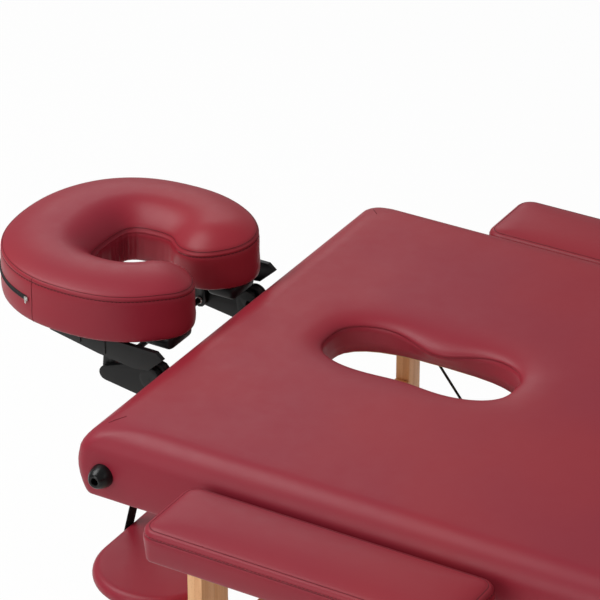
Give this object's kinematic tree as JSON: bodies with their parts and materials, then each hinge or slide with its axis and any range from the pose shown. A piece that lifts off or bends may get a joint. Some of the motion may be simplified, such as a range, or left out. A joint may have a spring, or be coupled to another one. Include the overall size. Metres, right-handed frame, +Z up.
{
  "type": "folding massage table",
  "caption": "Folding massage table with burgundy padded top, breathing hole, face cradle, side armrests, hanging arm shelf and beech legs that fold into the frame",
  "frame": {"origin": "on the floor under the middle of the overall length and width", "axes": "+X from the head end to the foot end, +Y to the left, +Z up"},
  "size_m": [2.17, 0.96, 0.6837],
  "materials": {
    "vinyl": "soft grained PU vinyl over foam",
    "plywood": "plain thin plywood",
    "beech": "clear satin lacquer",
    "steel": "zinc plated",
    "black_metal": "black powder coat",
    "black_plastic": "fine moulded texture",
    "rubber": "matt black",
    "webbing": "woven polyester webbing"
  },
  "bodies": {
    "head_section": {"head_pad": "vinyl", "head_deck": "plywood", "head_frame": "beech", "head_leg_axle": "steel", "hinge_leaf_head": "steel", "hinge_pin": "steel", "head_bumper_end": "rubber", "head_bumper_middle": "rubber", "head_handle": "black_plastic", "head_cable_left": "black_plastic", "head_cable_right": "black_plastic"},
    "foot_section": {"foot_pad": "vinyl", "foot_deck": "plywood", "foot_frame": "beech", "foot_leg_axle": "steel", "hinge_leaf_foot": "steel", "foot_bumper_end": "rubber", "foot_bumper_middle": "rubber", "foot_handle": "black_plastic", "foot_cable_left": "black_plastic", "foot_cable_right": "black_plastic"},
    "head_legs": {"head_leg_left": "beech", "head_leg_right": "beech", "head_crossbar": "beech"},
    "head_upper_links": {"head_upper_link_left": "beech", "head_upper_link_right": "beech"},
    "head_lower_links": {"head_lower_link_left": "beech", "head_lower_link_right": "beech"},
    "head_left_extension": {"head_leg_extension_left": "beech", "head_rubber_foot_left": "rubber"},
    "head_left_knob": {"head_knob_left": "black_plastic"},
    "head_right_extension": {"head_leg_extension_right": "beech", "head_rubber_foot_right": "rubber"},
    "head_right_knob": {"head_knob_right": "black_plastic"},
    "foot_legs": {"foot_leg_left": "beech", "foot_leg_right": "beech", "foot_crossbar": "beech"},
    "foot_upper_links": {"foot_upper_link_left": "beech", "foot_upper_link_right": "beech"},
    "foot_lower_links": {"foot_lower_link_left": "beech", "foot_lower_link_right": "beech"},
    "foot_left_extension": {"foot_leg_extension_left": "beech", "foot_rubber_foot_left": "rubber"},
    "foot_left_knob": {"foot_knob_left": "black_plastic"},
    "foot_right_extension": {"foot_leg_extension_right": "beech", "foot_rubber_foot_right": "rubber"},
    "foot_right_knob": {"foot_knob_right": "black_plastic"},
    "cradle_base": {"cradle_base": "black_metal"},
    "cradle_arms": {"cradle_arms": "black_metal"},
    "face_rest": {"cradle_platform": "black_plastic", "face_cushion": "vinyl"},
    "arm_shelf": {"arm_shelf": "vinyl", "shelf_strap_left": "webbing", "shelf_strap_right": "webbing"},
    "left_armrest": {"armrest_pad_left": "vinyl", "armrest_board_left": "plywood"},
    "right_armrest": {"armrest_pad_right": "vinyl", "armrest_board_right": "plywood"}
  },
  "joints": [
    {"name": "center_fold", "type": "hinge", "parent": "head_section", "child": "foot_section", "pos_m": [0.16, 0, 0.524], "axis": [0, 1, 0], "range_deg": [0, 180], "deforming": ["head_cable_left", "head_cable_right", "foot_cable_left", "foot_cable_right"]},
    {"name": "head_leg_fold", "type": "hinge", "parent": "head_section", "child": "head_legs", "pos_m": [-0.656, 0, 0.554], "axis": [0, -1, 0], "range_deg": [0, 90]},
    {"name": "head_upper_link_fold", "type": "hinge", "parent": "head_section", "child": "head_upper_links", "pos_m": [0.115, 0, 0.554], "axis": [0, 1, 0], "range_deg": [0, 25.64]},
    {"name": "head_lower_link_fold", "type": "hinge", "parent": "head_legs", "child": "head_lower_links", "pos_m": [-0.656, 0, 0.184], "axis": [0, -1, 0], "range_deg": [0, 64.36]},
    {"name": "head_left_height", "type": "slide", "parent": "head_legs", "child": "head_left_extension", "axis": [0, 0, -1], "range_m": [0, 0.22]},
    {"name": "head_left_knob_turn", "type": "hinge", "parent": "head_legs", "child": "head_left_knob", "pos_m": [-0.656, 0.275, 0.182], "axis": [0, 1, 0], "continuous": true},
    {"name": "head_right_height", "type": "slide", "parent": "head_legs", "child": "head_right_extension", "axis": [0, 0, -1], "range_m": [0, 0.22]},
    {"name": "head_right_knob_turn", "type": "hinge", "parent": "head_legs", "child": "head_right_knob", "pos_m": [-0.656, -0.275, 0.182], "axis": [0, -1, 0], "continuous": true},
    {"name": "foot_leg_fold", "type": "hinge", "parent": "foot_section", "child": "foot_legs", "pos_m": [0.976, 0, 0.554], "axis": [0, 1, 0], "range_deg": [0, 90]},
    {"name": "foot_upper_link_fold", "type": "hinge", "parent": "foot_section", "child": "foot_upper_links", "pos_m": [0.205, 0, 0.554], "axis": [0, -1, 0], "range_deg": [0, 25.64]},
    {"name": "foot_lower_link_fold", "type": "hinge", "parent": "foot_legs", "child": "foot_lower_links", "pos_m": [0.976, 0, 0.184], "axis": [0, 1, 0], "range_deg": [0, 64.36]},
    {"name": "foot_left_height", "type": "slide", "parent": "foot_legs", "child": "foot_left_extension", "axis": [0, 0, -1], "range_m": [0, 0.22]},
    {"name": "foot_left_knob_turn", "type": "hinge", "parent": "foot_legs", "child": "foot_left_knob", "pos_m": [0.976, 0.243, 0.182], "axis": [0, 1, 0], "continuous": true},
    {"name": "foot_right_height", "type": "slide", "parent": "foot_legs", "child": "foot_right_extension", "axis": [0, 0, -1], "range_m": [0, 0.22]},
    {"name": "foot_right_knob_turn", "type": "hinge", "parent": "foot_legs", "child": "foot_right_knob", "pos_m": [0.976, -0.243, 0.182], "axis": [0, -1, 0], "continuous": true},
    {"name": "cradle_slide", "type": "slide", "parent": "head_section", "child": "cradle_base", "axis": [-1, 0, 0], "range_m": [0, 0.05]},
    {"name": "cradle_lift", "type": "hinge", "parent": "cradle_base", "child": "cradle_arms", "pos_m": [-0.81, 0, 0.558], "axis": [0, 1, 0], "range_deg": [0, 15]},
    {"name": "face_rest_tilt", "type": "hinge", "parent": "cradle_arms", "child": "face_rest", "pos_m": [-0.883, 0, 0.541], "axis": [0, 1, 0], "range_deg": [-25, 5]},
    {"name": "shelf_swing", "type": "hinge", "parent": "cradle_base", "child": "arm_shelf", "pos_m": [-0.81, 0, 0.528], "axis": [0, 1, 0], "range_deg": [0, 30]},
    {"name": "left_armrest_slide", "type": "slide", "parent": "head_section", "child": "left_armrest", "axis": [0, 1, 0], "range_m": [0, 0.03]},
    {"name": "right_armrest_slide", "type": "slide", "parent": "head_section", "child": "right_armrest", "axis": [0, -1, 0], "range_m": [0, 0.03]}
  ],
  "couplings": [
    {"joint": "head_leg_fold", "follows": "center_fold", "ratio": 0.5},
    {"joint": "head_upper_link_fold", "follows": "center_fold", "ratio": 0.14242},
    {"joint": "head_lower_link_fold", "follows": "center_fold", "ratio": 0.35758},
    {"joint": "foot_leg_fold", "follows": "center_fold", "ratio": 0.5},
    {"joint": "foot_upper_link_fold", "follows": "center_fold", "ratio": 0.14242},
    {"joint": "foot_lower_link_fold", "follows": "center_fold", "ratio": 0.35758},
    {"joint": "shelf_swing", "follows": "center_fold", "ratio": 0.16667}
  ]
}
